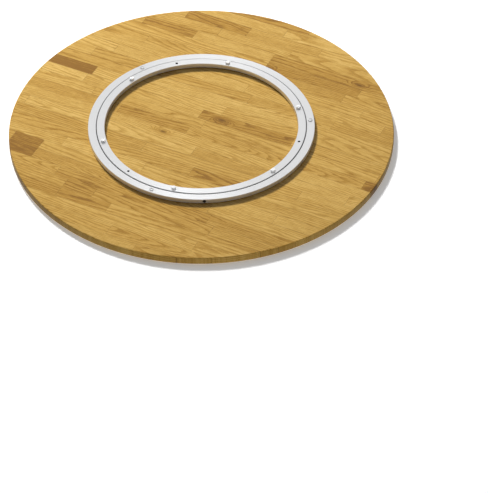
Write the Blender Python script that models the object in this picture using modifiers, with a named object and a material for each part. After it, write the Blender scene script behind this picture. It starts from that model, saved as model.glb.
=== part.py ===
"""Lazy susan: a round solid-oak top on an aluminium ring bearing, as it stands in use.

Metres, +Z up. The origin is on the turning axis, in the plane that the feet stand on. The inner
ring stands on six push-in feet and doesn't move. The outer ring is screwed to the underside of
the oak top and turns with it. Steel balls in a nylon cage run in the groove between the rings,
and a plug closes the hole that the balls were loaded through.
"""

import math

import bmesh
import bpy
from mathutils import Matrix, Vector

MM = 0.001
CLEARANCE = 0.3 * MM

# Oak top
BOARD_DIAMETER = 680 * MM
BOARD_THICKNESS = 14 * MM
BOARD_EDGE_RADIUS = 2 * MM

# Bearing rings
RING_DIAMETER = 400 * MM
OUTER_RING_WIDTH = 13.9 * MM
RING_GAP = 1.4 * MM
INNER_RING_WIDTH = 13.7 * MM
RING_THICKNESS = 9 * MM
RING_STEP = 0.8 * MM  # how much lower the inner ring lies, so that it stays clear of the oak
RING_CHAMFER = 0.4 * MM
RING_TOP_CHAMFER = 1 * MM

# Balls, cage and loading hole
BALL_DIAMETER = 4.76 * MM
BALL_COUNT = 24
CAGE_WEB = 0.75 * MM
LOADING_CLEARANCE = 0.5 * MM
PLUG_RECESS = 2 * MM
PLUG_CHAMFER = 0.4 * MM

# Feet
FOOT_COUNT = 6
FOOT_DIAMETER = 8 * MM
FOOT_HEIGHT = 3.5 * MM
FOOT_EDGE_RADIUS = 0.9 * MM
FOOT_DIMPLE_DIAMETER = 1.8 * MM
FOOT_DIMPLE_DEPTH = 0.5 * MM
STEM_DIAMETER = 4 * MM
STEM_LENGTH = 6 * MM
STEM_CHAMFER = 0.5 * MM

# Screws through the outer ring into the oak, and the spare holes in the inner ring
SCREW_COUNT = 3
SCREW_HEAD_DIAMETER = 7.5 * MM
SCREW_HEAD_HEIGHT = 1.6 * MM
SCREW_SHANK_DIAMETER = 3.9 * MM
SCREW_BITE = 9 * MM
SCREW_POINT = 3 * MM
PILOT_ROOM = 0.8 * MM
RECESS_LENGTH = 4.2 * MM
RECESS_WIDTH = 0.9 * MM
RECESS_DEPTH = 1 * MM
SPARE_HOLE_COUNT = 3
SPARE_HOLE_DIAMETER = 4 * MM
HOLE_CHAMFER = 0.3 * MM

# Places round the turning axis, in degrees from +X
FOOT_ANGLE = 45
SPARE_HOLE_ANGLE = 15
SCREW_ANGLE = 116
LOADING_ANGLE = 88

# Facets
RING_STEPS = 96
SMALL_STEPS = 16
POCKET_STEPS = 12
CORNER_STEPS = 3
GROOVE_STEPS = 5
BALL_SUBDIVISIONS = 2
CUT_OVERRUN = 1 * MM
MERGE_DISTANCE = 0.001 * MM

# Worked out from the sizes above
ball_angle = 180 / RING_STEPS  # the middle of a facet, so that a pocket cuts one flat face
board_radius = BOARD_DIAMETER / 2
ring_radius = RING_DIAMETER / 2
outer_ring_wall = ring_radius - OUTER_RING_WIDTH
inner_ring_wall = outer_ring_wall - RING_GAP
inner_ring_bore = inner_ring_wall - INNER_RING_WIDTH
pitch_radius = (outer_ring_wall + inner_ring_wall) / 2
groove_radius = BALL_DIAMETER / 2 + CLEARANCE
foot_radius = (inner_ring_bore + inner_ring_wall) / 2
screw_radius = (outer_ring_wall + ring_radius) / 2

inner_ring_low = FOOT_HEIGHT + CLEARANCE
inner_ring_high = inner_ring_low + RING_THICKNESS
outer_ring_low = inner_ring_low + RING_STEP
outer_ring_high = outer_ring_low + RING_THICKNESS
ball_height = (outer_ring_low + inner_ring_high) / 2
board_low = outer_ring_high + CLEARANCE
board_high = board_low + BOARD_THICKNESS
screw_seat = outer_ring_low - CLEARANCE
screw_tip = board_low + SCREW_BITE

loading_hole_diameter = BALL_DIAMETER + 2 * LOADING_CLEARANCE
plug_diameter = loading_hole_diameter - 2 * CLEARANCE
plug_inner_end = pitch_radius + groove_radius + CLEARANCE
plug_outer_end = ring_radius - PLUG_RECESS


def clear_scene():
    for obj in list(bpy.data.objects):
        bpy.data.objects.remove(obj, do_unlink=True)


def new_collection(name):
    collection = bpy.data.collections.new(name)
    bpy.context.scene.collection.children.link(collection)
    return collection


def new_material(name, colour, roughness, metallic=0.0):
    material = bpy.data.materials.new(name)
    material.use_nodes = True
    shader = material.node_tree.nodes["Principled BSDF"]
    shader.inputs["Base Color"].default_value = (*colour, 1.0)
    shader.inputs["Roughness"].default_value = roughness
    shader.inputs["Metallic"].default_value = metallic
    return material


def around(radius, angle, height=0.0):
    """The point at this radius and angle round the turning axis."""
    turn = math.radians(angle)
    return Vector((radius * math.cos(turn), radius * math.sin(turn), height))


def spaced(count, first_angle):
    """The angles of evenly spaced features."""
    return [first_angle + 360 * i / count for i in range(count)]


def arc(centre_r, centre_z, radius, first, last, steps):
    """Points of a profile's arc, as (r, z), from one angle to another in degrees."""
    angles = [math.radians(first + (last - first) * i / steps) for i in range(steps + 1)]
    return [(centre_r + radius * math.cos(a), centre_z + radius * math.sin(a)) for a in angles]


def turned(name, profile, steps, material, collection, closed=False):
    """A profile of (r, z) points turned about its own Z axis. It runs down its outer side."""
    mesh = bpy.data.meshes.new(name)
    edges = [(i, i + 1) for i in range(len(profile) - 1)]
    if closed:
        edges.append((len(profile) - 1, 0))
    mesh.from_pydata([(r, 0, z) for r, z in profile], edges, [])
    mesh.materials.append(material)
    obj = bpy.data.objects.new(name, mesh)
    collection.objects.link(obj)
    screw = obj.modifiers.new("Turn", "SCREW")
    screw.steps = steps
    screw.render_steps = steps
    screw.use_merge_vertices = True
    screw.merge_threshold = MERGE_DISTANCE
    screw.use_smooth_shade = True
    return obj


def revolved(profile, steps):
    """A closed mesh of (r, z) points, from the axis out and back to it, spun about Z."""
    maker = bmesh.new()
    points = [maker.verts.new((r, 0, z)) for r, z in profile]
    lines = [maker.edges.new(pair) for pair in zip(points, points[1:])]
    bmesh.ops.spin(
        maker, geom=points + lines, axis=(0, 0, 1), angle=math.tau, steps=steps, use_merge=True
    )
    bmesh.ops.remove_doubles(maker, verts=maker.verts, dist=MERGE_DISTANCE)
    bmesh.ops.recalc_face_normals(maker, faces=maker.faces)
    mesh = bpy.data.meshes.new("revolved")
    maker.to_mesh(mesh)
    maker.free()
    return mesh


def cylinders(name, places, radius, low, high, steps, chamfer, collection):
    """A cutter of equal cylinders. Each place turns one from upright to where it cuts. Their low
    ends run past the face where the holes open, and a chamfer flares them there."""
    end = low - CUT_OVERRUN
    mouth = radius + chamfer + CUT_OVERRUN if chamfer else radius
    profile = [(0, high), (radius, high), (radius, low + chamfer), (mouth, end), (0, end)]
    pattern = revolved(profile, steps)
    together = bmesh.new()
    for place in places:
        one = pattern.copy()
        one.transform(place)
        together.from_mesh(one)
    return cutter_object(name, together, collection)


def cutter_object(name, maker, collection):
    mesh = bpy.data.meshes.new(name)
    maker.to_mesh(mesh)
    maker.free()
    cutter = bpy.data.objects.new(name, mesh)
    cutter.hide_render = True
    cutter.display_type = "WIRE"
    collection.objects.link(cutter)
    return cutter


def shade_evenly(obj):
    """Keeps the flat faces flat to the eye where smooth shading meets a corner."""
    shading = obj.modifiers.new("Shade", "WEIGHTED_NORMAL")
    shading.keep_sharp = True


def cut(obj, cutter):
    difference = obj.modifiers.new(cutter.name, "BOOLEAN")
    difference.operation = "DIFFERENCE"
    difference.solver = "EXACT"
    difference.object = cutter


def upright(radius, angle):
    return Matrix.Translation(around(radius, angle))


def radial(angle, height):
    """Lays an upright cylinder along the radius at this angle, with its low end outwards."""
    lie_down = Matrix.Rotation(math.radians(-90), 4, "Y")
    return Matrix.Translation((0, 0, height)) @ Matrix.Rotation(math.radians(angle), 4, "Z") @ lie_down


def make_board(material, parts, cutters):
    edge = BOARD_EDGE_RADIUS
    rim = board_radius - edge
    profile = [(0, board_high)]
    profile += arc(rim, board_high - edge, edge, 90, 0, CORNER_STEPS)
    profile += arc(rim, board_low + edge, edge, 0, -90, CORNER_STEPS)
    profile.append((0, board_low))
    board = turned("oak_board", profile, RING_STEPS, material, parts)
    pilots = cylinders(
        "pilot_holes",
        [upright(screw_radius, angle) for angle in spaced(SCREW_COUNT, SCREW_ANGLE)],
        SCREW_SHANK_DIAMETER / 2 + CLEARANCE,
        board_low,
        screw_tip + PILOT_ROOM,
        SMALL_STEPS,
        0,
        cutters,
    )
    cut(board, pilots)


def make_outer_ring(material, parts, cutters):
    low, high, wall = outer_ring_low, outer_ring_high, outer_ring_wall
    reach = math.degrees(math.acos((wall - pitch_radius) / groove_radius))
    profile = [
        (ring_radius - RING_TOP_CHAMFER, high),
        (ring_radius, high - RING_TOP_CHAMFER),
        (ring_radius, low + RING_CHAMFER),
        (ring_radius - RING_CHAMFER, low),
        (wall + RING_CHAMFER, low),
        (wall, low + RING_CHAMFER),
        *arc(pitch_radius, ball_height, groove_radius, -reach, reach, GROOVE_STEPS),
        (wall, high - RING_CHAMFER),
        (wall + RING_CHAMFER, high),
    ]
    ring = turned("outer_ring", profile, RING_STEPS, material, parts, closed=True)
    screw_holes = cylinders(
        "screw_holes",
        [upright(screw_radius, angle) for angle in spaced(SCREW_COUNT, SCREW_ANGLE)],
        SCREW_SHANK_DIAMETER / 2 + CLEARANCE,
        low,
        high + CUT_OVERRUN,
        SMALL_STEPS,
        HOLE_CHAMFER,
        cutters,
    )
    cut(ring, screw_holes)
    loading_hole = cylinders(
        "loading_hole",
        [radial(LOADING_ANGLE, ball_height)],
        loading_hole_diameter / 2,
        -ring_radius,
        -pitch_radius,
        SMALL_STEPS,
        HOLE_CHAMFER,
        cutters,
    )
    cut(ring, loading_hole)


def make_inner_ring(material, parts, cutters):
    low, high, wall, bore = inner_ring_low, inner_ring_high, inner_ring_wall, inner_ring_bore
    reach = math.degrees(math.acos((pitch_radius - wall) / groove_radius))
    profile = [
        (wall - RING_CHAMFER, high),
        (wall, high - RING_CHAMFER),
        *arc(pitch_radius, ball_height, groove_radius, 180 - reach, 180 + reach, GROOVE_STEPS),
        (wall, low + RING_CHAMFER),
        (wall - RING_CHAMFER, low),
        (bore + RING_CHAMFER, low),
        (bore, low + RING_CHAMFER),
        (bore, high - RING_CHAMFER),
        (bore + RING_CHAMFER, high),
    ]
    ring = turned("inner_ring", profile, RING_STEPS, material, parts, closed=True)
    stem_holes = cylinders(
        "stem_holes",
        [upright(foot_radius, angle) for angle in spaced(FOOT_COUNT, FOOT_ANGLE)],
        STEM_DIAMETER / 2 + CLEARANCE,
        low,
        high + CUT_OVERRUN,
        SMALL_STEPS,
        HOLE_CHAMFER,
        cutters,
    )
    cut(ring, stem_holes)
    spare_holes = cylinders(
        "spare_holes",
        [upright(foot_radius, angle) for angle in spaced(SPARE_HOLE_COUNT, SPARE_HOLE_ANGLE)],
        SPARE_HOLE_DIAMETER / 2,
        low,
        high + CUT_OVERRUN,
        SMALL_STEPS,
        HOLE_CHAMFER,
        cutters,
    )
    cut(ring, spare_holes)


def make_cage(material, parts, cutters):
    half_height = groove_radius + CAGE_WEB
    inside, outside = inner_ring_wall + CLEARANCE, outer_ring_wall - CLEARANCE
    profile = [
        (outside, ball_height + half_height),
        (outside, ball_height - half_height),
        (inside, ball_height - half_height),
        (inside, ball_height + half_height),
    ]
    cage = turned("ball_cage", profile, RING_STEPS, material, parts, closed=True)
    pockets = cylinders(
        "ball_pockets",
        [radial(angle, ball_height) for angle in spaced(BALL_COUNT, ball_angle)],
        groove_radius,
        -outside,
        -inside + CUT_OVERRUN,
        POCKET_STEPS,
        0,
        cutters,
    )
    cut(cage, pockets)


def make_balls(material, parts):
    ball_mesh = bpy.data.meshes.new("ball")
    maker = bmesh.new()
    bmesh.ops.create_icosphere(maker, subdivisions=BALL_SUBDIVISIONS, radius=BALL_DIAMETER / 2)
    maker.to_mesh(ball_mesh)
    maker.free()
    ball_mesh.materials.append(material)
    ball_mesh.shade_smooth()
    for number, angle in enumerate(spaced(BALL_COUNT, ball_angle), start=1):
        ball = bpy.data.objects.new(f"ball_{number:02d}", ball_mesh)
        ball.location = around(pitch_radius, angle, ball_height)
        ball.rotation_euler.z = math.radians(angle)
        parts.objects.link(ball)


def make_plug(material, parts):
    """Lies along the radius, with its top end inwards."""
    radius = plug_diameter / 2
    profile = [
        (0, -plug_inner_end),
        (radius - PLUG_CHAMFER, -plug_inner_end),
        (radius, -plug_inner_end - PLUG_CHAMFER),
        (radius, -plug_outer_end + PLUG_CHAMFER),
        (radius - PLUG_CHAMFER, -plug_outer_end),
        (0, -plug_outer_end),
    ]
    plug = turned("loading_plug", profile, SMALL_STEPS, material, parts)
    plug.matrix_world = radial(LOADING_ANGLE, ball_height)


def make_feet(material, parts):
    head, stem = FOOT_DIAMETER / 2, STEM_DIAMETER / 2
    stem_end = FOOT_HEIGHT + STEM_LENGTH
    profile = [
        (0, stem_end),
        (stem - STEM_CHAMFER, stem_end),
        (stem, stem_end - STEM_CHAMFER),
        (stem, FOOT_HEIGHT),
        (head, FOOT_HEIGHT),
        *arc(head - FOOT_EDGE_RADIUS, FOOT_EDGE_RADIUS, FOOT_EDGE_RADIUS, 0, -90, CORNER_STEPS),
        (FOOT_DIMPLE_DIAMETER / 2, 0),
        (0, FOOT_DIMPLE_DEPTH),
    ]
    for number, angle in enumerate(spaced(FOOT_COUNT, FOOT_ANGLE), start=1):
        foot = turned(f"foot_{number}", profile, SMALL_STEPS, material, parts)
        foot.location = around(foot_radius, angle)
        foot.rotation_euler.z = math.radians(angle)


def make_screws(material, parts, cutters):
    head, shank = SCREW_HEAD_DIAMETER / 2, SCREW_SHANK_DIAMETER / 2
    face = screw_seat - SCREW_HEAD_HEIGHT
    rounding = SCREW_HEAD_HEIGHT / 2
    profile = [
        (0, screw_tip),
        (shank, screw_tip - SCREW_POINT),
        (shank, screw_seat),
        (head, screw_seat),
        *arc(head - rounding, face + rounding, rounding, 0, -90, CORNER_STEPS),
        (0, face),
    ]
    for number, angle in enumerate(spaced(SCREW_COUNT, SCREW_ANGLE), start=1):
        screw = turned(f"board_screw_{number}", profile, SMALL_STEPS, material, parts)
        screw.location = around(screw_radius, angle)
        screw.rotation_euler.z = math.radians(angle)
        for arm in (0, 90):
            slot = bmesh.new()
            size = (RECESS_LENGTH, RECESS_WIDTH, RECESS_DEPTH + CUT_OVERRUN)
            middle = around(screw_radius, angle, face + (RECESS_DEPTH - CUT_OVERRUN) / 2)
            turn = Matrix.Rotation(math.radians(angle + arm), 4, "Z")
            shape = Matrix.Diagonal((*size, 1))
            bmesh.ops.create_cube(slot, size=1, matrix=Matrix.Translation(middle) @ turn @ shape)
            cut(screw, cutter_object(f"recess_{number}_{arm}", slot, cutters))


def main():
    clear_scene()
    parts = new_collection("lazy_susan")
    cutters = new_collection("cutters")
    oak = new_material("oak", (0.60, 0.37, 0.15), 0.55)
    aluminium = new_material("aluminium", (0.86, 0.87, 0.88), 0.3, 1.0)
    steel = new_material("bearing_steel", (0.70, 0.70, 0.72), 0.12, 1.0)
    zinc = new_material("zinc_plate", (0.78, 0.79, 0.80), 0.25, 1.0)
    nylon = new_material("black_nylon", (0.02, 0.02, 0.022), 0.5)
    silicone = new_material("milky_silicone", (0.88, 0.90, 0.90), 0.4)
    make_board(oak, parts, cutters)
    make_outer_ring(aluminium, parts, cutters)
    make_inner_ring(aluminium, parts, cutters)
    make_cage(nylon, parts, cutters)
    make_balls(steel, parts)
    make_plug(nylon, parts)
    make_feet(silicone, parts)
    make_screws(zinc, parts, cutters)
    for obj in parts.objects:
        shade_evenly(obj)


main()
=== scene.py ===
"""The looks of the lazy susan: an oiled oak top glued from staves, turned aluminium rings, milky feet.

Everything is in metres in the part's own frame, +Z up, feet at z = 0. The turntable is seen from
below, so the camera is under it. The floors and all but one of the lamps come in pairs, for views
from below and from above.
"""

import math
import random

import bmesh
import bpy
from mathutils import Matrix, Vector

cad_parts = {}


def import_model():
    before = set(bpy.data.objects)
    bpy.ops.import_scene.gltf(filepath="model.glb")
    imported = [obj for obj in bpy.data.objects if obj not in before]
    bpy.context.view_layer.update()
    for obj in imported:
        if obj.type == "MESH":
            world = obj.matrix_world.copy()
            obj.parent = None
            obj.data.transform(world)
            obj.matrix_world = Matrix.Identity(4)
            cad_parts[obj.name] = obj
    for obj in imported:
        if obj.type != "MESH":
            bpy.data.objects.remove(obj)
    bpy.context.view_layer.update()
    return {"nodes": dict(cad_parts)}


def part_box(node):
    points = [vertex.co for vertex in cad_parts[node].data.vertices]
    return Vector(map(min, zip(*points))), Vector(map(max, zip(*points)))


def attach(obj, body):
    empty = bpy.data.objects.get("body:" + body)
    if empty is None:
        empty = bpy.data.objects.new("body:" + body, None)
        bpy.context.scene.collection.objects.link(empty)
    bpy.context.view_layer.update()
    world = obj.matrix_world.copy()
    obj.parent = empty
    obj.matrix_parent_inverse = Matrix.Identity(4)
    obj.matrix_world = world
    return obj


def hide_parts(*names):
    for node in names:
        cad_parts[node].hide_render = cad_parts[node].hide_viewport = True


MM = 0.001

# Shapes that the frame's boxes don't give
BOARD_EDGE_RADIUS = 2 * MM
OUTER_RING_WIDTH = 13.9 * MM
INNER_RING_WIDTH = 13.7 * MM
RING_CHAMFER = 0.4 * MM
RING_TOP_CHAMFER = 1 * MM
GROOVE_RADIUS = 2.68 * MM
STEM_HOLE_DIAMETER = 4.6 * MM
SPARE_HOLE_DIAMETER = 4 * MM
SPARE_HOLE_ANGLE = math.radians(15)
SPARE_HOLE_COUNT = 3
SCREW_HOLE_DIAMETER = 4.5 * MM
PILOT_ROOM = 0.8 * MM
LOADING_HOLE_DIAMETER = 5.76 * MM
HOLE_CHAMFER = 0.3 * MM
CUT_OVERRUN = 1 * MM
BORE_LEAN = 0.9  # a hole's walls lean less than this along its axis

FOOT_COUNT = 6
FOOT_HEAD_HEIGHT = 3.5 * MM
FOOT_EDGE_RADIUS = 0.9 * MM
FOOT_DIMPLE_RADIUS = 0.9 * MM
FOOT_DIMPLE_DEPTH = 0.5 * MM
FOOT_BRIM = 0.25 * MM
STEM_RADIUS = 2 * MM
STEM_CHAMFER = 0.5 * MM

SCREW_COUNT = 3
SCREW_HEAD_HEIGHT = 1.6 * MM
SCREW_CROWN = 0.45 * MM
SCREW_EDGE_RADIUS = 0.5 * MM
CROWN_END_ANGLE = -50  # in degrees, where the head's edge starts from its crown
SCREW_SHANK_RADIUS = 1.95 * MM
SCREW_CORE_RADIUS = 1.4 * MM
SCREW_BRIM = 0.1 * MM
SCREW_NECK = 1 * MM
SCREW_POINT = 3 * MM
SCREW_TIP_SHARE = 0.12  # the tip's radius as a share of the core's
SCREW_FIRST_TURN = math.radians(57)
SCREW_TURN_STEP = math.radians(37)
THREAD_PITCH = 1.6 * MM
THREAD_ROWS = 8  # rows of points in one turn of the thread
THREAD_RIDGE_SLOPE = 3  # the ridge falls off to nothing in a third of the pitch
AXIS_SHARE = 1 / 8  # points nearer the axis than this share of the core stay where they are
RECESS_LENGTH = 4.2 * MM
RECESS_WIDTH = 0.9 * MM
RECESS_DEPTH = 1 * MM

PLUG_EDGE_RADIUS = 0.4 * MM
PLUG_SLOT_WIDTH = 0.8 * MM
PLUG_SLOT_DEPTH = 0.7 * MM
PLUG_SLOT_REACH = 2.5  # the slot's length in plug radii, past both sides

# Facets
BOARD_STEPS = 360
RING_STEPS = 288
SMALL_STEPS = 48
EDGE_STEPS = 6
GROOVE_STEPS = 12
BALL_STEPS = 32
SHARP_ANGLE = math.radians(30)
FLAT_ANGLE = 1e-5
LEVEL_NORMAL = 0.999
CUT_TOLERANCE = 1e-7

# Oak staves: rows of one width, with staggered butt joints
STAVE_ANGLE = math.radians(26)
STAVE_WIDTH = 24.7 * MM
FIRST_SEAM = -0.4 * MM
STAVE_LENGTHS = (0.14, 0.36)
STAVE_TONES = (0.18, 0.44)
LONE_DARK_SHARE = 0.08
LONE_DARK_TONE = 0.18
LONG_GAP_SPLIT = (0.4, 0.6)  # where a stave that is too long is split
NO_KNOT = 1.0  # so far from the stave that nothing of a knot shows
SEED = "oak top"

# The staves that stand out: start and end along the grain, place across it, and tone from 0 to 1
MARKED_STAVES = (
    (-0.336, -0.246, -0.062, 0.97),
    (-0.336, -0.252, -0.037, 0.1),
    (-0.291, -0.235, 0.16, 0.8),
    (-0.291, -0.235, 0.185, 0.98),
    (-0.233, -0.13, -0.235, 0.62),
    (-0.17, -0.045, -0.285, 0.66),
    (0.026, 0.258, -0.235, 0.55),
    (0.026, 0.21, -0.21, 0.6),
    (-0.02, 0.19, -0.185, 0.48),
    (-0.02, 0.16, -0.037, 0.62),
    (-0.148, -0.09, 0.235, 0.58),
    (-0.148, -0.05, 0.26, 0.55),
    (-0.157, -0.02, 0.01, 0.56),
    (0.035, 0.15, 0.11, 0.6),
    (0.32, 0.34, 0.02, 0.8),
)

# Knots, at a place along the grain and across it
KNOTS = (
    (0.2, -0.233),
    (0.032, -0.206),
    (0.178, -0.209),
    (0.022, -0.037),
    (-0.058, 0.036),
)

# Oak's looks. What each stave draws from its seed, as (key, size, start)
HEART_ASIDE = (17, 60 * MM, -30 * MM)
HEART_DEPTH = (31, 16 * MM, 2 * MM)
HEART_SKEW = (53, 0.16, -0.08)
RING_PITCH = (71, 2.8 * MM, 1.8 * MM)
OPEN_JOINT = (91, 1, 0)
GRAIN_SHIFT = 40  # the seed moves the noises this far

# How often each noise changes per metre, along the grain and across it
SLOW_WAVES = (9, 45)
FINE_WAVES = (30, 260)
FIBRES = (45, 1500)
PORES = (210, 4200)
STREAKS = (5, 170)
CLOUDS = (22, 60)
DASHES = (60, 520)

# Where on its noise a pore or a dash begins, and where it is full
PORE_EDGE = (0.56, 0.66)
DASH_EDGE = (0.35, 0.7)

# How far the growth rings are moved, and where their early wood begins and ends, in ring pitches
SLOW_BEND = 9 * MM
FINE_BEND = 0.9 * MM
KNOT_BEND = 12 * MM
EARLY_RISE = (0, 0.08)
EARLY_FADE = (0.12, 0.6)

KNOT_ROUNDNESS = 0.4  # a knot's width across the grain as a share of its length along it
KNOT_SWELL = 12 * MM
KNOT_CORE = (0.8 * MM, 3.4 * MM)
SEAM_START = 0.05 * MM
SEAM_WIDTH = 0.28 * MM
SEAM_OPENING = 0.5 * MM
OPEN_RARITY = 4  # the power that keeps wide seams rare

# How the oak's shade moves with each noise: from which of its values, and how far
STREAK_SHADE = (0.5, 0.4)
CLOUD_SHADE = (0.5, 0.3)
EARLY_SHADE = (0, 0.3)
DASH_SHADE = (0.35, 0.3)
FIBRE_SHADE = (0.5, 0.3)

# How strongly each thing darkens the oak
LATE_WOOD_PORES = 0.2  # against 1 in early wood
KNOT_SHADE = 0.35
PORE_SHARE = 0.45
KNOT_SHARE = 0.6
GLUE_SHARES = (0.25, 0.75)
GLUE_EDGE = (0.4, 0.6)  # where in a streak the glue goes from the first share to the second

# Oak's gloss and relief
OAK_ROUGHNESS = (0.4, 0.56)
PORE_ROUGHNESS = 0.2
OAK_SPECULAR = 0.25
FIBRE_RISE = 0.4
PORE_DROP = 0.7
SEAM_DROP = 0.5
GRAIN_RELIEF = 0.12 * MM
GRAIN_STRENGTH = 0.6

OAK_TONES = (
    (0.0, (0.7, 0.465, 0.145)),
    (0.35, (0.55, 0.335, 0.08)),
    (0.7, (0.41, 0.222, 0.038)),
    (1.0, (0.25, 0.12, 0.02)),
)
PORE_COLOUR = (0.13, 0.06, 0.014, 1)
KNOT_COLOUR = (0.09, 0.04, 0.011, 1)
GLUE_COLOUR = (0.09, 0.04, 0.012, 1)

# The lathe's lines and broader bands on the rings, and the lines in drilled holes, per metre
TOOL_LINES = 6000
TOOL_BANDS = 700
DRILL_LINES = 1800

# The two colours that each material varies between
ALUMINIUM_COLOURS = ((0.74, 0.745, 0.75, 1), (0.83, 0.83, 0.83, 1))
BAND_COLOUR = (0.7, 0.705, 0.715, 1)
# The hole walls' colours are near black: painted shade inside the holes
BORE_PAINTED_SHADE_COLOURS = ((0.006, 0.006, 0.007, 1), (0.02, 0.02, 0.021, 1))
SILICONE_COLOURS = ((0.83, 0.835, 0.83, 1), (0.93, 0.935, 0.94, 1))
ZINC_COLOURS = ((0.6, 0.61, 0.63, 1), (0.78, 0.78, 0.77, 1))
NYLON_COLOURS = ((0.012, 0.012, 0.013, 1), (0.03, 0.03, 0.031, 1))
STEEL_COLOURS = ((0.62, 0.63, 0.65, 1), (0.74, 0.74, 0.75, 1))
BAND_SHARE = 0.35

# The roughness that each varies between, and its relief as (height, strength)
ALUMINIUM_ROUGHNESS = (0.3, 0.4)
CLOUD_ROUGHNESS = 0.06  # what the clouds on the aluminium add
BORE_ROUGHNESS = (0.55, 0.75)
SILICONE_ROUGHNESS = (0.3, 0.5)
ZINC_ROUGHNESS = (0.2, 0.42)
NYLON_ROUGHNESS = (0.42, 0.62)
STEEL_ROUGHNESS = (0.06, 0.18)
ALUMINIUM_RELIEF = (0.01 * MM, 0.35)
BORE_RELIEF = (0.1 * MM, 0.5)
SILICONE_RELIEF = (0.03 * MM, 0.4)
ZINC_RELIEF = (0.02 * MM, 0.3)
NYLON_RELIEF = (0.02 * MM, 0.4)

# Camera: it looks up at the underside from the side of +Y
CAMERA_PITCH = math.radians(42)
CAMERA_DISTANCE = 6
CAMERA_LENS = 248.3
CAMERA_SENSOR = 36
CAMERA_REACH = 200
FRAME_LEFT = 0.0752  # how far the object lies to the left of the frame's middle, and above it
FRAME_UP = 0.2145

# Stage and lights
STAGE_SIZE = 60
STAGE_GAP = 0.5 * MM
FLOOR_WHITE = (0.5, 0.1, 0.62)  # how matt white it is, its glow under the board, kept low as a painted shadow, and its glow beside it
UPTURNED_FLOOR_WHITE = (0.9, 0.27, 0.3)
FLOOR_SHADOW_EDGE = (0.88, 1.2)  # in board radii, where the floor's glow changes from under to beside: where the painted shadow fades out
FLOOR_FAR = (3, 8)  # and where it rises to full white
LAMP_DISTANCE = 5
KEY_SIZE = 0.9
KEY_POWER = 365
KEY_HEADING = (-0.3, -0.72, 0.63)

# The studio's light: a fill all round and a glow in its brightest part, each with one strength on
# matt surfaces and one that shines in metal
FILL_ON_MATT = 0.05
FILL_IN_METAL = 0.62
GLOW_ON_MATT = 0.5
GLOW_IN_METAL = 1.0
GLOW_HEADING = (-0.25, -0.7, 0.67)
GLOW_EDGE = 0.4  # the cosine of the angle from its heading where the glow has faded into the fill

SHEEN_POWER = 16
SHEEN_SIZE = 1.5
SHEEN_HEADING = (-0.06, -0.42, 0.9)
FRONT_POWER = 90
FRONT_SIZE = 1.5
FRONT_HEADING = (0.1, 1, 0)


# Helpers


def frame_middle(node):
    """The middle of a CAD node's box."""
    low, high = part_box(node)
    return (low + high) / 2


def new_object(name, mesh_tool):
    """An object in the scene from a bmesh, which is used up."""
    mesh = bpy.data.meshes.new(name)
    mesh_tool.to_mesh(mesh)
    mesh_tool.free()
    made = bpy.data.objects.new(name, mesh)
    bpy.context.scene.collection.objects.link(made)
    return made


def new_piece(name, mesh_tool, body, slot, *nodes):
    """An object from a bmesh, which rides on a body and stands for CAD nodes."""
    bmesh.ops.recalc_face_normals(mesh_tool, faces=mesh_tool.faces)
    piece = new_object(name, mesh_tool)
    smooth(piece.data)
    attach(piece, body)
    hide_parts(*nodes)
    return piece


def smooth(mesh):
    """Smooth faces, with sharp edges where they meet at an angle."""
    mesh.polygons.foreach_set("use_smooth", [True] * len(mesh.polygons))
    mesh.set_sharp_from_angle(angle=SHARP_ANGLE)


def paint(piece, material, *others):
    """Gives a piece its material, and others for the faces that name them. Clearing also makes the
    faces forget theirs, so a new mesh, which has nothing to clear, isn't cleared."""
    if piece.data.materials:
        piece.data.materials.clear()
    for each in (material, *others):
        piece.data.materials.append(each)


def arc(centre, radius, start, end, steps):
    """Points (r, z) round a centre, from one angle in degrees to another."""
    points = []
    for i in range(steps + 1):
        angle = math.radians(start + (end - start) * i / steps)
        points.append((centre[0] + radius * math.cos(angle), centre[1] + radius * math.sin(angle)))
    return points


def lathe(profile, steps, closed=False, place=None):
    """A bmesh turned about Z from (r, z) points. Points on the axis become one vertex."""
    turned = bmesh.new()
    rings = []
    for r, z in profile:
        if r < MM * MM:
            rings.append([turned.verts.new((0, 0, z))])
            continue
        ring = []
        for i in range(steps):
            angle = math.tau * i / steps
            ring.append(turned.verts.new((r * math.cos(angle), r * math.sin(angle), z)))
        rings.append(ring)
    pairs = list(zip(rings, rings[1:]))
    if closed:
        pairs.append((rings[-1], rings[0]))
    for lower, upper in pairs:
        join_rings(turned, lower, upper, steps)
    if place:
        turned.transform(place)
    return turned


def join_rings(turned, lower, upper, steps):
    """The faces between two turned rings, either of which may be a point."""
    for i in range(steps):
        j = (i + 1) % steps
        if len(lower) == 1:
            turned.faces.new((lower[0], upper[i], upper[j]))
        elif len(upper) == 1:
            turned.faces.new((lower[i], lower[j], upper[0]))
        else:
            turned.faces.new((lower[i], lower[j], upper[j], upper[i]))


def cut(body_tool, cutter_tools):
    """The body less its cutters, all bmeshes."""
    for tool in (body_tool, *cutter_tools):
        bmesh.ops.recalc_face_normals(tool, faces=tool.faces)
    body = new_object("body", body_tool)
    cutters = [new_object("cutter", tool) for tool in cutter_tools]
    for cutter in cutters:
        boolean = body.modifiers.new("cut", "BOOLEAN")
        boolean.object = cutter
        boolean.operation = "DIFFERENCE"
        boolean.solver = "EXACT"
    graph = bpy.context.evaluated_depsgraph_get()
    mesh = bpy.data.meshes.new_from_object(body.evaluated_get(graph))
    result = bmesh.new()
    result.from_mesh(mesh)
    bpy.data.meshes.remove(mesh)
    for used in (body, *cutters):
        old = used.data
        bpy.data.objects.remove(used)
        bpy.data.meshes.remove(old)
    return result


def at(x, y, z=0.0):
    """A move to a place, upright."""
    return Matrix.Translation((x, y, z))


def drill(diameter, z_from, z_to, place):
    """A cylinder to cut a hole with."""
    r = diameter / 2
    return lathe([(0, z_from), (r, z_from), (r, z_to), (0, z_to)], SMALL_STEPS, place=place)


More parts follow.
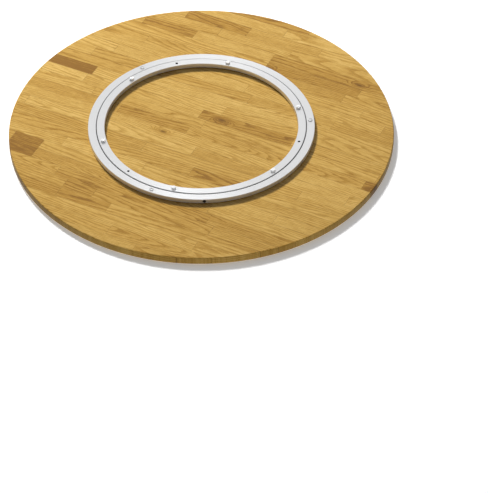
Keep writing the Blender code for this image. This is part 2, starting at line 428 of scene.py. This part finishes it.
def bar(size, place):
    """A box to cut a slot with."""
    box = bmesh.new()
    bmesh.ops.create_cube(box, size=1)
    box.transform(place @ Matrix.Diagonal((*size, 1)))
    return box


def countersink(diameter, face_z, place):
    """A cone that chamfers a hole's lower edge."""
    r = diameter / 2
    wide = r + HOLE_CHAMFER + CUT_OVERRUN
    start = face_z - CUT_OVERRUN
    end = face_z + HOLE_CHAMFER
    return lathe([(0, start), (wide, start), (r, end), (0, end)], SMALL_STEPS, place=place)


# Rings


def bored(body, holes):
    """A ring less its chamfered holes, each as (diameter, mouth, end, place) along its place's Z.
    Their walls take the ring's second material, which paints them near black as painted shade."""
    cutters = []
    for diameter, mouth, end, place in holes:
        cutters.append(drill(diameter, mouth - CUT_OVERRUN, end + CUT_OVERRUN, place))
        cutters.append(countersink(diameter, mouth, place))
    ring = cut(body, cutters)
    ring.normal_update()
    for diameter, mouth, end, place in holes:
        to_hole = place.inverted()
        for face in ring.faces:
            centre = to_hole @ face.calc_center_median()
            lean = abs((to_hole.to_3x3() @ face.normal).z)
            inside = math.hypot(centre.x, centre.y) < diameter / 2 + HOLE_CHAMFER
            if inside and mouth < centre.z < end and lean < BORE_LEAN:
                face.material_index = 1
    return ring


def make_rings(material, bore_shade_material):
    """The two turned rings, with the ball groove between them and their holes."""
    outer_low, outer_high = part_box("outer_ring")
    inner_low, inner_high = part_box("inner_ring")
    outer_radius = outer_high.x
    inner_radius = inner_high.x
    bore = outer_radius - OUTER_RING_WIDTH
    pitch = (inner_radius + bore) / 2
    ball_z = frame_middle("ball_01").z
    half = math.degrees(math.acos((bore - pitch) / GROOVE_RADIUS))

    c = RING_CHAMFER
    t = RING_TOP_CHAMFER
    low, high = outer_low.z, outer_high.z
    groove = arc((pitch, ball_z), GROOVE_RADIUS, half, -half, GROOVE_STEPS)
    profile = [(outer_radius - c, low), (outer_radius, low + c)]
    profile += [(outer_radius, high - t), (outer_radius - t, high)]
    profile += [(bore + c, high), (bore, high - c), *groove, (bore, low + c), (bore + c, low)]
    body = lathe(profile, RING_STEPS, closed=True)
    holes = []
    for k in range(1, SCREW_COUNT + 1):
        middle = frame_middle(f"board_screw_{k}")
        holes.append((SCREW_HOLE_DIAMETER, low, high, at(middle.x, middle.y)))
    plug = frame_middle("loading_plug")
    heading = Matrix.Rotation(math.atan2(plug.y, plug.x), 4, "Z")
    inwards = heading @ at(0, 0, plug.z) @ Matrix.Rotation(math.radians(-90), 4, "Y")
    holes.append((LOADING_HOLE_DIAMETER, -outer_radius, -bore, inwards))
    body = bored(body, holes)
    ring = new_piece("outer_ring_turned", body, "turntable", "aluminium", "outer_ring")
    paint(ring, material, bore_shade_material)

    low, high = inner_low.z, inner_high.z
    hollow = inner_radius - INNER_RING_WIDTH
    groove = arc((pitch, ball_z), GROOVE_RADIUS, 180 - half, 180 + half, GROOVE_STEPS)
    profile = [(hollow + c, low), (hollow, low + c), (hollow, high - c), (hollow + c, high)]
    profile += [(inner_radius - c, high), (inner_radius, high - c), *groove]
    profile += [(inner_radius, low + c), (inner_radius - c, low)]
    body = lathe(profile, RING_STEPS, closed=True)
    row = frame_middle("foot_1").xy.length
    holes = []
    for k in range(1, FOOT_COUNT + 1):
        middle = frame_middle(f"foot_{k}")
        holes.append((STEM_HOLE_DIAMETER, low, high, at(middle.x, middle.y)))
    for k in range(SPARE_HOLE_COUNT):
        angle = SPARE_HOLE_ANGLE + math.tau * k / SPARE_HOLE_COUNT
        place = at(row * math.cos(angle), row * math.sin(angle))
        holes.append((SPARE_HOLE_DIAMETER, low, high, place))
    body = bored(body, holes)
    ring = new_piece("inner_ring_turned", body, "base", "aluminium", "inner_ring")
    paint(ring, material, bore_shade_material)


# Small parts


def make_feet(material):
    """Six push-in feet: a cylinder with a rounded end, a dimple in it and a stem."""
    for k in range(1, FOOT_COUNT + 1):
        low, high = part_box(f"foot_{k}")
        middle = (low + high) / 2
        r = (high.x - low.x) / 2
        edge = FOOT_EDGE_RADIUS
        profile = arc((0, 0), FOOT_DIMPLE_RADIUS, 90, 0, EDGE_STEPS)
        squeeze = FOOT_DIMPLE_DEPTH / FOOT_DIMPLE_RADIUS
        profile = [(x, low.z + z * squeeze) for x, z in profile]
        profile += arc((r - edge, low.z + edge), edge, -90, 0, EDGE_STEPS)
        shoulder = low.z + FOOT_HEAD_HEIGHT
        profile += [(r, shoulder - FOOT_BRIM), (r - FOOT_BRIM, shoulder), (STEM_RADIUS, shoulder)]
        profile += [(STEM_RADIUS, high.z - STEM_CHAMFER), (STEM_RADIUS - STEM_CHAMFER, high.z), (0, high.z)]
        body = lathe(profile, SMALL_STEPS, place=at(middle.x, middle.y))
        foot = new_piece(f"push_in_foot_{k}", body, "base", "silicone", f"foot_{k}")
        paint(foot, material)


def thread_radius(height, point_from, tip):
    """The screw's core radius at a height: straight, then tapering to its point."""
    if height < point_from:
        return SCREW_CORE_RADIUS
    return SCREW_CORE_RADIUS * max(SCREW_TIP_SHARE, (tip - height) / (tip - point_from))


def make_screws(material):
    """Three pan-head screws with a cross recess and a thread."""
    for k in range(1, SCREW_COUNT + 1):
        low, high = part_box(f"board_screw_{k}")
        middle = (low + high) / 2
        r = (high.x - low.x) / 2
        under = low.z + SCREW_HEAD_HEIGHT
        edge = SCREW_EDGE_RADIUS
        crown_radius = ((r - edge) ** 2 + SCREW_CROWN**2) / (2 * SCREW_CROWN)
        opening = math.degrees(math.asin((r - edge) / crown_radius))
        profile = arc((0, low.z + crown_radius), crown_radius, -90, -90 + opening, EDGE_STEPS)
        profile += arc((r - edge, low.z + SCREW_CROWN + edge), edge, CROWN_END_ANGLE, 0, EDGE_STEPS)
        profile += [(r, under - SCREW_BRIM), (r - SCREW_BRIM, under), (SCREW_SHANK_RADIUS, under)]
        thread_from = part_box("oak_board")[0].z
        profile += [(SCREW_SHANK_RADIUS, thread_from - SCREW_NECK), (SCREW_CORE_RADIUS, thread_from)]
        rows = int((high.z - thread_from) / THREAD_PITCH * THREAD_ROWS)
        for i in range(1, rows):
            height = thread_from + (high.z - thread_from) * i / rows
            profile.append((thread_radius(height, high.z - SCREW_POINT, high.z), height))
        profile.append((0, high.z))
        head = lathe(profile, SMALL_STEPS)
        raise_thread(head, thread_from)
        recess = (RECESS_LENGTH, RECESS_WIDTH, 2 * RECESS_DEPTH)
        turns = (0, math.pi / 2)
        body = cut(head, [bar(recess, at(0, 0, low.z) @ Matrix.Rotation(turn, 4, "Z")) for turn in turns])
        turn = Matrix.Rotation(SCREW_FIRST_TURN + SCREW_TURN_STEP * (k - 1), 4, "Z")
        body.transform(at(middle.x, middle.y) @ turn)
        screw = new_piece(f"pan_head_screw_{k}", body, "turntable", "zinc", f"board_screw_{k}")
        paint(screw, material)


def raise_thread(screw, start):
    """Moves the core's points out in a helix, less towards the point."""
    for vertex in screw.verts:
        x, y, z = vertex.co
        radius = math.hypot(x, y)
        if z <= start or radius < SCREW_CORE_RADIUS * AXIS_SHARE:
            continue
        turns = z / THREAD_PITCH - math.atan2(y, x) / math.tau
        ridge = 1 - min(1, THREAD_RIDGE_SLOPE * abs(turns - round(turns)))
        room = (SCREW_SHANK_RADIUS - SCREW_CORE_RADIUS) * radius / SCREW_CORE_RADIUS
        fade = min(1, (z - start) / THREAD_PITCH)
        scale = (radius + room * ridge * fade) / radius
        vertex.co = (x * scale, y * scale, z)


def make_plug(material):
    """The screw plug that closes the loading hole, with a slot in its outer end."""
    low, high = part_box("loading_plug")
    middle = (low + high) / 2
    angle = math.atan2(middle.y, middle.x)
    r = (high.z - low.z) / 2
    outer = high.y / math.sin(angle)
    inner = low.y / math.sin(angle)
    reach = middle.xy.length
    half = min(outer - reach, reach - inner)
    e = PLUG_EDGE_RADIUS
    profile = [(0, -half), *arc((r - e, -half + e), e, -90, 0, EDGE_STEPS)]
    profile += [*arc((r - e, half - e), e, 0, 90, EDGE_STEPS), (0, half)]
    slot = (PLUG_SLOT_REACH * r, PLUG_SLOT_WIDTH, 2 * PLUG_SLOT_DEPTH)
    body = cut(lathe(profile, SMALL_STEPS), [bar(slot, at(0, 0, half))])
    outwards = Matrix.Rotation(math.radians(90), 4, "Y")
    body.transform(Matrix.Rotation(angle, 4, "Z") @ at(reach, 0, middle.z) @ outwards)
    plug = new_piece("loading_plug_turned", body, "turntable", "nylon", "loading_plug")
    paint(plug, material)


def make_balls(nodes, material):
    """One smooth ball for each of the bearing's."""
    for node in nodes:
        low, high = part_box(node)
        r = (high.z - low.z) / 2
        profile = arc((0, 0), r, -90, 90, BALL_STEPS // 2)
        profile[0] = (0, -r)
        profile[-1] = (0, r)
        body = lathe(profile, BALL_STEPS, place=Matrix.Translation((low + high) / 2))
        ball = new_piece(node.replace("ball", "steel_ball"), body, "ball_set", "steel", node)
        paint(ball, material)


# Oak top


def row_seams(radius):
    """The seams between the rows of staves, across the grain."""
    first = math.ceil((-radius - FIRST_SEAM) / STAVE_WIDTH)
    last = math.floor((radius - FIRST_SEAM) / STAVE_WIDTH)
    return [FIRST_SEAM + STAVE_WIDTH * i for i in range(first, last + 1)]


def stave_ends(row, low, high, radius):
    """The butt joints along one row, the tones of its marked staves by their start, and its dice."""
    dice = random.Random(f"{SEED} {row}")
    marked = sorted(mark for mark in MARKED_STAVES if low < mark[2] < high)
    ends = []
    tones = {}
    for start, end, _, tone in marked:
        ends += [start, end]
        tones[start] = tone
    if not ends:
        ends.append(dice.uniform(-radius, radius))
    ends = sorted(set(ends))
    filled = [ends[0]]
    for end in ends[1:]:
        gap = end - filled[-1]
        if gap > STAVE_LENGTHS[1] and filled[-1] not in tones:
            filled.append(filled[-1] + gap * dice.uniform(*LONG_GAP_SPLIT))
        filled.append(end)
    while filled[0] > -radius:
        filled.insert(0, filled[0] - dice.uniform(*STAVE_LENGTHS))
    while filled[-1] < radius:
        filled.append(filled[-1] + dice.uniform(*STAVE_LENGTHS))
    return filled, tones, dice


def lay_staves(radius):
    """Every stave as (start, end, low side, high side, tone, seed), and the seams between rows."""
    seams = row_seams(radius)
    sides = [seams[0] - STAVE_WIDTH, *seams, seams[-1] + STAVE_WIDTH]
    staves = []
    for row, (low, high) in enumerate(zip(sides, sides[1:])):
        ends, tones, dice = stave_ends(row, low, high, radius)
        for start, end in zip(ends, ends[1:]):
            tone = dice.uniform(*STAVE_TONES)
            if dice.random() < LONE_DARK_SHARE:
                tone += LONE_DARK_TONE
            staves.append((start, end, low, high, tones.get(start, tone), dice.random()))
    return staves, seams


def knot_in(start, end, low, high):
    """The knot inside a stave, or a place too far away to show."""
    for along, across in KNOTS:
        if start < along < end and low < across < high:
            return along, across
    return start + NO_KNOT, low + NO_KNOT


def make_board(material):
    """The glued oak disc. Its mesh is cut along every seam, so that each stave has its own grain."""
    low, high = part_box("oak_board")
    radius = high.x
    e = BOARD_EDGE_RADIUS
    profile = [(0, low.z), *arc((radius - e, low.z + e), e, -90, 0, EDGE_STEPS)]
    profile += [*arc((radius - e, high.z - e), e, 0, 90, EDGE_STEPS), (0, high.z)]
    disc = lathe(profile, BOARD_STEPS)
    cutters = []
    for k in range(1, SCREW_COUNT + 1):
        middle = frame_middle(f"board_screw_{k}")
        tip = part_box(f"board_screw_{k}")[1].z
        place = at(middle.x, middle.y)
        cutters.append(drill(SCREW_HOLE_DIAMETER, low.z - CUT_OVERRUN, tip + PILOT_ROOM, place))
    disc = cut(disc, cutters)
    flatten_caps(disc)
    to_grain = Matrix.Rotation(-STAVE_ANGLE, 4, "Z")
    disc.transform(to_grain)
    staves, seams = lay_staves(radius)
    for seam in seams:
        slice_faces(disc, disc.faces[:], (0, seam, 0), (0, 1, 0))
    mark_staves(disc, staves)
    disc.transform(to_grain.inverted())
    board = new_piece("oak_top", disc, "turntable", "oak", "oak_board")
    paint(board, material)


def flatten_caps(disc):
    """Joins the fans of the two flat faces into one face each."""
    level = []
    for edge in disc.edges:
        flat = edge.is_manifold and abs(edge.calc_face_angle()) < FLAT_ANGLE
        if flat and all(abs(face.normal.z) > LEVEL_NORMAL for face in edge.link_faces):
            level.append(edge)
    bmesh.ops.dissolve_edges(disc, edges=level, use_verts=False)


def slice_faces(disc, faces, point, normal):
    """Cuts some faces along a plane."""
    edges = {edge for face in faces for edge in face.edges}
    verts = {vert for face in faces for vert in face.verts}
    geometry = [*verts, *edges, *faces]
    bmesh.ops.bisect_plane(disc, geom=geometry, plane_co=point, plane_no=normal, dist=CUT_TOLERANCE)


def mark_staves(disc, staves):
    """Cuts the butt joints and writes each face's stave into attributes."""
    place = disc.loops.layers.float_vector.new("stave_place")
    knot = disc.loops.layers.float_vector.new("stave_knot")
    nature = disc.faces.layers.float_vector.new("stave_nature")
    size = disc.faces.layers.float_vector.new("stave_size")
    rows = {}
    for stave in staves:
        rows.setdefault(stave[2], []).append(stave)
    for low, row in rows.items():
        for stave in row[1:]:
            faces = [face for face in disc.faces if low < face.calc_center_median().y < stave[3]]
            slice_faces(disc, faces, (stave[0], 0, 0), (1, 0, 0))
    for face in disc.faces:
        centre = face.calc_center_median()
        row = [stave for stave in staves if stave[2] <= centre.y < stave[3]]
        start, end, low, high, tone, seed = next(s for s in row if s[0] <= centre.x < s[1])
        middle = Vector(((start + end) / 2, (low + high) / 2, 0))
        spot = Vector((*knot_in(start, end, low, high), 0))
        face[nature] = (tone, seed, 0)
        face[size] = ((end - start) / 2, (high - low) / 2, 0)
        for loop in face.loops:
            loop[place] = loop.vert.co - middle
            loop[knot] = loop.vert.co - spot


# Materials


class Nodes:
    """Short calls that add and link the nodes of one tree."""

    def __init__(self, tree):
        self.tree = tree
        self.shader = tree.nodes.get("Principled BSDF")

    def add(self, kind, **settings):
        """A new node with its settings."""
        node = self.tree.nodes.new(kind)
        for key, value in settings.items():
            setattr(node, key, value)
        return node

    def plug(self, value, socket):
        """Links an output to an input, or sets the input to a plain value."""
        if isinstance(value, bpy.types.NodeSocket):
            self.tree.links.new(value, socket)
        else:
            socket.default_value = value

    def math(self, operation, *values, clamp=False):
        """The result of one sum."""
        node = self.add("ShaderNodeMath", operation=operation, use_clamp=clamp)
        for value, socket in zip(values, node.inputs):
            self.plug(value, socket)
        return node.outputs[0]

    def attribute(self, name):
        """The three parts of a vector attribute."""
        node = self.add("ShaderNodeAttribute", attribute_name=name)
        return self.split(node.outputs["Vector"])

    def length(self, x, y):
        """The length of a flat vector."""
        return self.math("SQRT", self.math("ADD", self.math("POWER", x, 2), self.math("POWER", y, 2)))

    def pick(self, seed, key, size, start):
        """A number from start to start + size that a seed and a key give."""
        share = self.math("FRACT", self.math("MULTIPLY", seed, key))
        return self.math("ADD", self.math("MULTIPLY", share, size), start)

    def stretched(self, u, w, third, along, across, **settings):
        """Noise with its own scales along the grain and across it."""
        place = self.join(self.math("MULTIPLY", u, along), self.math("MULTIPLY", w, across), third)
        return self.noise(place, **settings)

    def moved(self, value, change, middle, size):
        """The value moved by how far the change is from its middle."""
        offset = self.math("MULTIPLY", self.math("SUBTRACT", change, middle), size)
        return self.math("ADD", value, offset)

    def between(self, share, low, high):
        """A value from low to high."""
        return self.math("ADD", self.math("MULTIPLY", share, high - low), low)

    def split(self, vector):
        """A vector's three parts."""
        node = self.add("ShaderNodeSeparateXYZ")
        self.plug(vector, node.inputs[0])
        return node.outputs[0], node.outputs[1], node.outputs[2]

    def join(self, x, y, z):
        """A vector from its three parts."""
        node = self.add("ShaderNodeCombineXYZ")
        for value, socket in zip((x, y, z), node.inputs):
            self.plug(value, socket)
        return node.outputs[0]

    def noise(self, vector, detail, scale=1.0, roughness=0.5, kind="3D"):
        """Noise from 0 to 1. The 1D kind takes a number for its vector."""
        node = self.add("ShaderNodeTexNoise", noise_dimensions=kind)
        self.plug(vector, node.inputs["W" if kind == "1D" else "Vector"])
        node.inputs["Scale"].default_value = scale
        node.inputs["Detail"].default_value = detail
        node.inputs["Roughness"].default_value = roughness
        return node.outputs["Fac"]

    def step(self, value, start, end, low=0.0, high=1.0):
        """A smooth change from low to high as value goes from start to end."""
        node = self.add("ShaderNodeMapRange", interpolation_type="SMOOTHSTEP")
        names = ("Value", "From Min", "From Max", "To Min", "To Max")
        for name, setting in zip(names, (value, start, end, low, high)):
            self.plug(setting, node.inputs[name])
        return node.outputs[0]

    def ramp(self, value, *stops):
        """A colour for each value, from (place, colour) stops."""
        node = self.add("ShaderNodeValToRGB")
        self.plug(value, node.inputs[0])
        elements = node.color_ramp.elements
        while len(elements) < len(stops):
            elements.new(0.5)
        for element, (place, colour) in zip(elements, stops):
            element.position = place
            element.color = (*colour, 1)
        return node.outputs[0]

    def mix(self, share, first, second):
        """One colour over another."""
        node = self.add("ShaderNodeMix", data_type="RGBA")
        self.plug(share, node.inputs[0])
        self.plug(first, node.inputs[6])
        self.plug(second, node.inputs[7])
        return node.outputs[2]

    def bump(self, height, distance, strength):
        """Gives the shader a relief."""
        node = self.add("ShaderNodeBump")
        self.plug(height, node.inputs["Height"])
        node.inputs["Distance"].default_value = distance
        node.inputs["Strength"].default_value = strength
        self.plug(node.outputs[0], self.shader.inputs["Normal"])

    def set(self, **values):
        """Sets the shader's inputs, with _ for a space in their names."""
        for name, value in values.items():
            self.plug(value, self.shader.inputs[name.replace("_", " ")])

    def place(self):
        """The piece's own coordinates, in metres."""
        return self.add("ShaderNodeTexCoord").outputs["Object"]


def new_material(name):
    """A material and its nodes."""
    material = bpy.data.materials.new(name)
    material.use_nodes = True
    return material, Nodes(material.node_tree)


def oak_material():
    """Oiled oak: growth rings as cones through each stave, open pores, knots and glue lines."""
    material, n = new_material("oiled_oak")
    u, w, z = n.attribute("stave_place")
    tone, seed, _ = n.attribute("stave_nature")
    half_length, half_width, _ = n.attribute("stave_size")
    knot_u, knot_w, _ = n.attribute("stave_knot")
    shift = n.math("MULTIPLY", seed, GRAIN_SHIFT)

    # Grain bends round a knot
    knot_near = n.length(n.math("MULTIPLY", knot_u, KNOT_ROUNDNESS), knot_w)
    knot_swell = n.step(knot_near, 0, KNOT_SWELL, 1, 0)
    knot_core = n.step(knot_near, *KNOT_CORE, 1, 0)

    # Growth rings: the distance from the heart of the log, which runs slightly askew of the stave
    askew = n.math("MULTIPLY", u, n.pick(seed, *HEART_SKEW))
    deep = n.math("ADD", n.math("ADD", n.pick(seed, *HEART_DEPTH), z), askew)
    log = n.length(deep, n.math("SUBTRACT", w, n.pick(seed, *HEART_ASIDE)))
    log = n.moved(log, n.stretched(u, w, shift, *SLOW_WAVES, detail=3), 0, SLOW_BEND)
    log = n.moved(log, n.stretched(u, w, shift, *FINE_WAVES, detail=3), 0, FINE_BEND)
    log = n.moved(log, knot_swell, 0, KNOT_BEND)
    ring = n.math("FRACT", n.math("DIVIDE", log, n.pick(seed, *RING_PITCH)))
    early = n.math("MULTIPLY", n.step(ring, *EARLY_RISE), n.step(ring, *EARLY_FADE, 1, 0))

    # Fibres and open pores, which go through the board's thickness too
    fibre = n.stretched(u, w, n.math("MULTIPLY", z, FIBRES[1]), *FIBRES, detail=3, roughness=0.6)
    pores = n.stretched(u, w, n.math("MULTIPLY", z, PORES[1]), *PORES, detail=1)
    pore = n.math("MULTIPLY", n.step(pores, *PORE_EDGE), n.between(early, LATE_WOOD_PORES, 1))

    # Colour: the stave's tone, moved by each noise
    streak = n.stretched(u, w, shift, *STREAKS, detail=4, roughness=0.62)
    cloud = n.stretched(u, w, shift, *CLOUDS, detail=2)
    dash = n.stretched(u, w, shift, *DASHES, detail=4, roughness=0.7)
    shade = n.moved(tone, streak, *STREAK_SHADE)
    shade = n.moved(shade, cloud, *CLOUD_SHADE)
    shade = n.moved(shade, early, *EARLY_SHADE)
    shade = n.moved(shade, n.step(dash, *DASH_EDGE), *DASH_SHADE)
    shade = n.moved(shade, fibre, *FIBRE_SHADE)
    shade = n.math("ADD", shade, n.math("MULTIPLY", knot_swell, KNOT_SHADE), clamp=True)
    colour = n.ramp(shade, *OAK_TONES)
    colour = n.mix(n.math("MULTIPLY", pore, PORE_SHARE), colour, PORE_COLOUR)
    colour = n.mix(n.math("MULTIPLY", knot_core, KNOT_SHARE), colour, KNOT_COLOUR)

    # Glue lines
    side_gap = n.math("SUBTRACT", half_width, n.math("ABSOLUTE", w))
    end_gap = n.math("SUBTRACT", half_length, n.math("ABSOLUTE", u))
    open_joint = n.math("POWER", n.pick(seed, *OPEN_JOINT), OPEN_RARITY)
    seam_width = n.moved(SEAM_WIDTH, open_joint, 0, SEAM_OPENING)
    seam = n.step(n.math("MINIMUM", side_gap, end_gap), SEAM_START, seam_width, 1, 0)
    glue = n.between(n.step(streak, *GLUE_EDGE), *GLUE_SHARES)
    colour = n.mix(n.math("MULTIPLY", seam, glue), colour, GLUE_COLOUR)
    n.set(Base_Color=colour)

    # Gloss and relief
    rough = n.moved(n.between(fibre, *OAK_ROUGHNESS), pore, 0, PORE_ROUGHNESS)
    n.set(Roughness=rough, Specular_IOR_Level=OAK_SPECULAR)
    height = n.math("MULTIPLY", fibre, FIBRE_RISE)
    height = n.math("SUBTRACT", height, n.math("MULTIPLY", pore, PORE_DROP))
    height = n.math("SUBTRACT", height, n.math("MULTIPLY", seam, SEAM_DROP))
    n.bump(height, GRAIN_RELIEF, GRAIN_STRENGTH)
    return material


def turned_aluminium():
    """Satin aluminium as it comes off a lathe: fine tool lines round the axis."""
    material, n = new_material("turned_aluminium")
    x, y, z = n.split(n.place())
    across = n.math("ADD", n.length(x, y), z)
    lines = n.noise(n.math("MULTIPLY", across, TOOL_LINES), detail=2, kind="1D")
    bands = n.noise(n.math("MULTIPLY", across, TOOL_BANDS), detail=1, kind="1D")
    cloud = n.noise(n.place(), scale=24, detail=3)
    colour = n.mix(lines, *ALUMINIUM_COLOURS)
    colour = n.mix(n.math("MULTIPLY", bands, BAND_SHARE), colour, BAND_COLOUR)
    n.set(Base_Color=colour, Metallic=1.0, Anisotropic=0.7, Anisotropic_Rotation=0.25)
    rough = n.between(lines, *ALUMINIUM_ROUGHNESS)
    n.set(Roughness=n.moved(rough, cloud, 0, CLOUD_ROUGHNESS))
    tangent = n.add("ShaderNodeTangent", direction_type="RADIAL", axis="Z")
    n.plug(tangent.outputs[0], n.shader.inputs["Tangent"])
    n.bump(lines, *ALUMINIUM_RELIEF)
    return material


def painted_shade_bore():
    """The walls of drilled and tapped holes: dull from thread and swarf, and near black as painted shade.
    """
    material, n = new_material("painted_shade_bore")
    _, _, z = n.split(n.place())
    thread = n.noise(n.math("MULTIPLY", z, DRILL_LINES), detail=1, kind="1D")
    n.set(Base_Color=n.mix(thread, *BORE_PAINTED_SHADE_COLOURS))
    n.set(Roughness=n.between(thread, *BORE_ROUGHNESS), Specular_IOR_Level=0.2)
    n.bump(thread, *BORE_RELIEF)
    return material


def milky_silicone():
    """Translucent soft feet, slightly dusty."""
    material, n = new_material("milky_silicone")
    haze = n.noise(n.place(), scale=900, detail=3)
    grain = n.noise(n.place(), scale=6000, detail=2)
    n.set(Base_Color=n.mix(haze, *SILICONE_COLOURS))
    n.set(Roughness=n.between(haze, *SILICONE_ROUGHNESS))
    n.set(Subsurface_Weight=0.35, Subsurface_Radius=(1, 0.95, 0.9), Subsurface_Scale=1.2 * MM)
    n.bump(grain, *SILICONE_RELIEF)
    return material


def zinc_plate():
    """Bright zinc on the screws, faintly blotched."""
    material, n = new_material("zinc_plate")
    blotch = n.noise(n.place(), scale=700, detail=4)
    n.set(Base_Color=n.mix(blotch, *ZINC_COLOURS), Metallic=1.0)
    n.set(Roughness=n.between(blotch, *ZINC_ROUGHNESS))
    n.bump(blotch, *ZINC_RELIEF)
    return material


def black_nylon():
    """Moulded nylon for the cage and the plug."""
    material, n = new_material("black_nylon")
    grain = n.noise(n.place(), scale=3500, detail=3)
    n.set(Base_Color=n.mix(grain, *NYLON_COLOURS))
    n.set(Roughness=n.between(grain, *NYLON_ROUGHNESS))
    n.bump(grain, *NYLON_RELIEF)
    return material


def polished_steel():
    """Ground and polished ball steel."""
    material, n = new_material("polished_steel")
    wear = n.noise(n.place(), scale=1800, detail=4)
    n.set(Base_Color=n.mix(wear, *STEEL_COLOURS), Metallic=1.0)
    n.set(Roughness=n.between(wear, *STEEL_ROUGHNESS))
    return material


# Stage, light and camera


def one_sided_white(name, board_radius, matt, painted_shadow_glow, glow_beside):
    """A white floor that is clear from behind, so that it can be looked through from there. It glows
    less under the board, as a painted shadow, and fully far away, where the lamps don't reach."""
    material, n = new_material(name)
    n.tree.nodes.remove(n.shader)
    diffuse = n.add("ShaderNodeBsdfDiffuse")
    n.plug((matt, matt, matt, 1), diffuse.inputs["Color"])
    emission = n.add("ShaderNodeEmission")
    x, y, _ = n.split(n.place())
    away = n.length(x, y)
    near_from, near_to = (share * board_radius for share in FLOOR_SHADOW_EDGE)
    far_from, far_to = (share * board_radius for share in FLOOR_FAR)
    # Painted shadow: the glow is lower under the board than beside it
    near = n.step(away, near_from, near_to, painted_shadow_glow, glow_beside)
    far = n.step(away, far_from, far_to, 0, 1 - glow_beside)
    n.plug(n.math("ADD", near, far), emission.inputs["Strength"])
    white = n.add("ShaderNodeAddShader")
    clear = n.add("ShaderNodeBsdfTransparent")
    chosen = n.add("ShaderNodeMixShader")
    n.plug(diffuse.outputs[0], white.inputs[0])
    n.plug(emission.outputs[0], white.inputs[1])
    n.plug(n.add("ShaderNodeNewGeometry").outputs["Backfacing"], chosen.inputs[0])
    n.plug(white.outputs[0], chosen.inputs[1])
    n.plug(clear.outputs[0], chosen.inputs[2])
    n.plug(chosen.outputs[0], n.tree.nodes["Material Output"].inputs["Surface"])
    return material


def make_stage(low, high, board_radius):
    """A floor under the feet, and one that the upturned board lies on. Each is seen from one side."""
    floors = (
        ("floor", low - STAGE_GAP, 0, FLOOR_WHITE),
        ("upturned_floor", high + STAGE_GAP, math.pi, UPTURNED_FLOOR_WHITE),
    )
    for name, z, turn, white in floors:
        tool = bmesh.new()
        bmesh.ops.create_grid(tool, x_segments=1, y_segments=1, size=STAGE_SIZE / 2)
        tool.transform(at(0, 0, z) @ Matrix.Rotation(turn, 4, "X"))
        floor = new_object(name, tool)
        floor.visible_shadow = False
        floor.visible_diffuse = False
        floor.visible_glossy = False
        floor.visible_transmission = False
        floor.data.materials.append(one_sided_white(f"{name}_white", board_radius, *white))


def make_world():
    """A studio that is brighter behind and to the left, above and below alike, and white to look at."""
    world = bpy.data.worlds.new("studio")
    bpy.context.scene.world = world
    world.use_nodes = True
    n = Nodes(world.node_tree)
    x, y, z = n.split(n.add("ShaderNodeTexCoord").outputs["Generated"])
    towards = n.add("ShaderNodeVectorMath", operation="DOT_PRODUCT")
    n.plug(n.join(x, y, n.math("ABSOLUTE", z)), towards.inputs[0])
    n.plug(Vector(GLOW_HEADING).normalized(), towards.inputs[1])
    path = n.add("ShaderNodeLightPath")
    in_metal = path.outputs["Is Glossy Ray"]
    fill = n.step(in_metal, 0, 1, FILL_ON_MATT, FILL_IN_METAL)
    glow = n.step(in_metal, 0, 1, GLOW_ON_MATT, GLOW_IN_METAL)
    light = n.step(towards.outputs["Value"], GLOW_EDGE, 1, fill, glow)
    background = n.tree.nodes["Background"]
    n.plug((1, 1, 1, 1), background.inputs["Color"])
    n.plug(n.step(path.outputs["Is Camera Ray"], 0, 1, light, 1), background.inputs["Strength"])


def make_lamp(name, direction, size, power, target):
    """A soft round lamp that faces the target."""
    lamp = bpy.data.lights.new(name, "AREA")
    lamp.shape = "DISK"
    lamp.size = size
    lamp.energy = power
    holder = bpy.data.objects.new(name, lamp)
    bpy.context.scene.collection.objects.link(holder)
    away = Vector(direction).normalized()
    holder.location = target + away * LAMP_DISTANCE
    holder.rotation_euler = away.to_track_quat("Z", "Y").to_euler()
    return holder


def make_lights(target):
    """A key and a sheen, below for the camera and above for the other views. The key lights only
    what is matt and the sheen only what shines, so that the turned metal isn't burnt out. A level
    lamp in front lights the sides."""
    for name, side in (("below", -1), ("above", 1)):
        x, y, z = KEY_HEADING
        key = make_lamp(f"key_{name}", (x, y, side * z), KEY_SIZE, KEY_POWER, target)
        key.visible_glossy = False
        x, y, z = SHEEN_HEADING
        sheen = make_lamp(f"sheen_{name}", (x, y, side * z), SHEEN_SIZE, SHEEN_POWER, target)
        sheen.visible_diffuse = False
    front = make_lamp("front", FRONT_HEADING, FRONT_SIZE, FRONT_POWER, target)
    front.visible_glossy = False


def make_camera(target):
    """Looks up at the underside, with the object in the upper left of the frame."""
    lens = bpy.data.cameras.new("camera")
    lens.lens = CAMERA_LENS
    lens.sensor_width = CAMERA_SENSOR
    lens.clip_end = CAMERA_REACH
    camera = bpy.data.objects.new("camera", lens)
    bpy.context.scene.collection.objects.link(camera)
    forward = Vector((0, -math.cos(CAMERA_PITCH), math.sin(CAMERA_PITCH)))
    up = Vector((0, -math.sin(CAMERA_PITCH), -math.cos(CAMERA_PITCH)))
    right = forward.cross(up)
    axes = Matrix((right, up, -forward)).transposed().to_4x4()
    place = target - forward * CAMERA_DISTANCE + right * FRAME_LEFT - up * FRAME_UP
    camera.matrix_world = Matrix.Translation(place) @ axes
    bpy.context.scene.camera = camera


def main():
    """Puts the pieces round the frame, then the stage, light and camera."""
    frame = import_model()
    board_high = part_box("oak_board")[1]
    ring_face = Vector((0, 0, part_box("outer_ring")[0].z))

    make_board(oak_material())
    make_rings(turned_aluminium(), painted_shade_bore())
    make_feet(milky_silicone())
    make_screws(zinc_plate())
    nylon = black_nylon()
    make_plug(nylon)
    paint(frame["nodes"]["ball_cage"], nylon)
    balls = sorted(name for name in frame["nodes"] if name[:5] == "ball_" and name[5:].isdigit())
    make_balls(balls, polished_steel())

    make_stage(0, board_high.z, board_high.x)
    make_world()
    make_lights(ring_face)
    make_camera(ring_face)
    bpy.context.scene.view_settings.view_transform = "Standard"


main()
